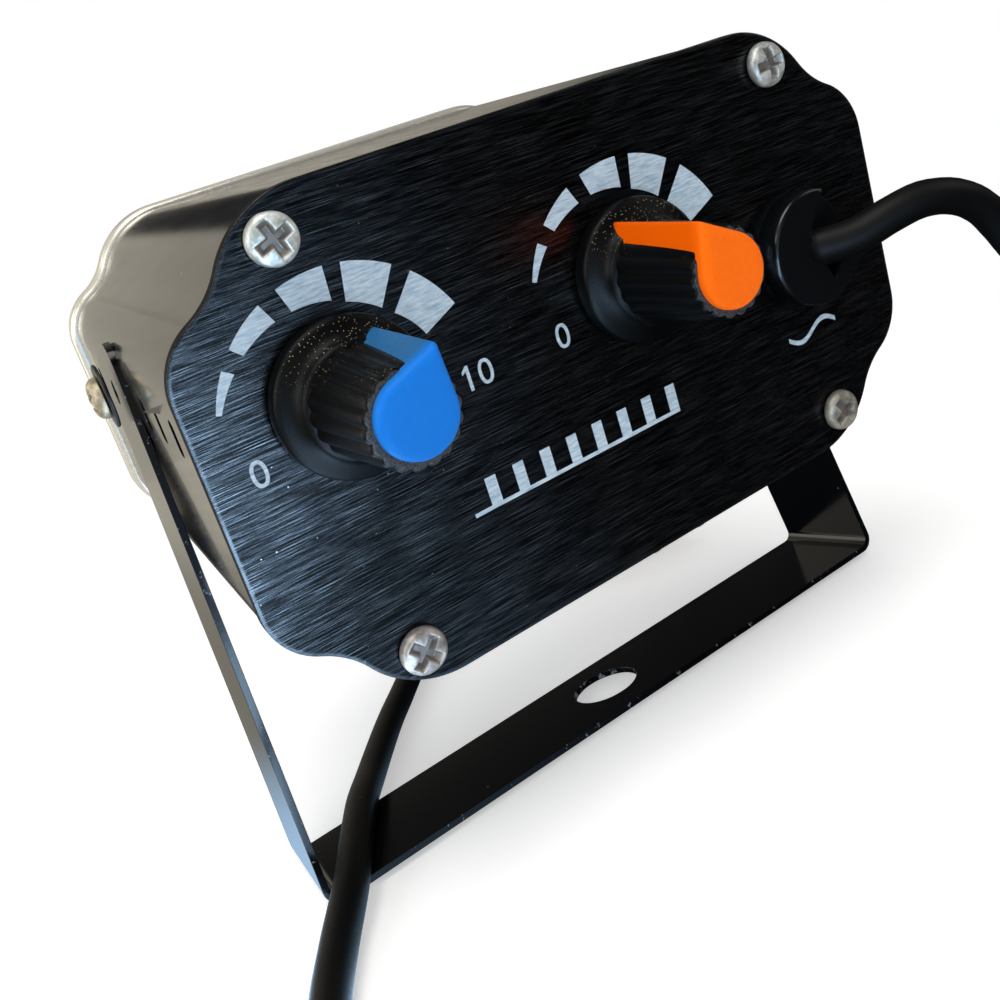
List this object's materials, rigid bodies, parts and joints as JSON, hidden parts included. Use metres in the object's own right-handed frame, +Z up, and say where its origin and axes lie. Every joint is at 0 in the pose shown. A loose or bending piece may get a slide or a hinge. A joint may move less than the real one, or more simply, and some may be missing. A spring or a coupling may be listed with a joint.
{
  "type": "strobe light",
  "caption": "Small boxed strobe light with ogee corners, hung by pivot screws in a U-shaped stand, with two turning dials and a coiled mains cord on its rear panel.",
  "frame": {"origin": "middle of the footprint of lamp and stand on the table, cord left out", "axes": "+Z up, +Y the way the lens faces, rear panel towards -Y, +X to the right seen from behind; the pivots lie along X"},
  "size_m": [0.1308, 0.2309, 0.1072],
  "materials": {
    "black_paint": "gloss black enamel",
    "brushed_black": "brushed and blackened, lightly scratched",
    "window": "clear",
    "mirror_metal": "bright",
    "board_white": "solder mask",
    "led": "clear dome",
    "board_green": "solder mask",
    "component_black": "moulded",
    "ferrite_yellow": "taped",
    "fuse_glass": "clear tube",
    "nickel": "nickel plated, worn",
    "washer_black": "black oxide",
    "black_plastic": "moulded, satin",
    "pointer_blue": "moulded",
    "pointer_orange": "moulded",
    "cord_black": "matt",
    "tie": "hook and loop strap",
    "brass": "bright",
    "wire_brown": "insulated",
    "wire_blue": "insulated",
    "wire_red": "insulated"
  },
  "bodies": {
    "stand": {"bracket": "black_paint", "pivot_washer_left": "washer_black", "pivot_washer_right": "washer_black", "cord_lead": "cord_black", "cord_coil": "cord_black", "cord_tie": "tie", "plug_body": "black_plastic", "plug_blade_left": "brass", "plug_blade_right": "brass"},
    "head": {"bezel_screw_bottom_left": "nickel", "bezel_screw_bottom_right": "nickel", "bezel_screw_top_left": "nickel", "bezel_screw_top_right": "nickel", "bridge_rectifier": "component_black", "case_shell": "black_paint", "cord_grip": "black_plastic", "cord_inner_end": "cord_black", "driver_board": "board_green", "front_bezel": "black_paint", "front_window": "window", "fuse": "fuse_glass", "inductor": "ferrite_yellow", "led_1": "led", "led_10": "led", "led_2": "led", "led_3": "led", "led_4": "led", "led_5": "led", "led_6": "led", "led_7": "led", "led_8": "led", "led_9": "led", "led_board": "board_white", "led_cable": "wire_red", "panel_screw_bottom_left": "nickel", "panel_screw_bottom_right": "nickel", "panel_screw_top_left": "nickel", "panel_screw_top_right": "nickel", "pivot_nut_left": "nickel", "pivot_nut_right": "nickel", "pivot_screw_left": "nickel", "pivot_screw_right": "nickel", "pot_left": "nickel", "pot_nut_left": "nickel", "pot_nut_right": "nickel", "pot_right": "nickel", "power_transistor": "component_black", "power_wire_live": "wire_brown", "power_wire_neutral": "wire_blue", "rear_panel": "brushed_black", "reflector": "mirror_metal", "smoothing_capacitor": "component_black", "timing_chip": "component_black"},
    "left_dial": {"pot_shaft_left": "nickel", "knob_left": "black_plastic", "knob_pointer_left": "pointer_blue"},
    "right_dial": {"pot_shaft_right": "nickel", "knob_right": "black_plastic", "knob_pointer_right": "pointer_orange"}
  },
  "joints": [
    {"name": "tilt", "type": "hinge", "parent": "stand", "child": "head", "pos_m": [0, 0.00808, 0.077], "axis": [1, 0, 0], "range_deg": [-60, 45], "deforming": ["cord_lead"]},
    {"name": "left_dial_turn", "type": "hinge", "parent": "head", "child": "left_dial", "pos_m": [-0.033, -0.03631, 0.0648], "axis": [0, -0.9744, -0.225], "range_deg": [-117, 183]},
    {"name": "right_dial_turn", "type": "hinge", "parent": "head", "child": "right_dial", "pos_m": [0.0072, -0.03631, 0.0648], "axis": [0, -0.9744, -0.225], "range_deg": [-174, 126]}
  ]
}
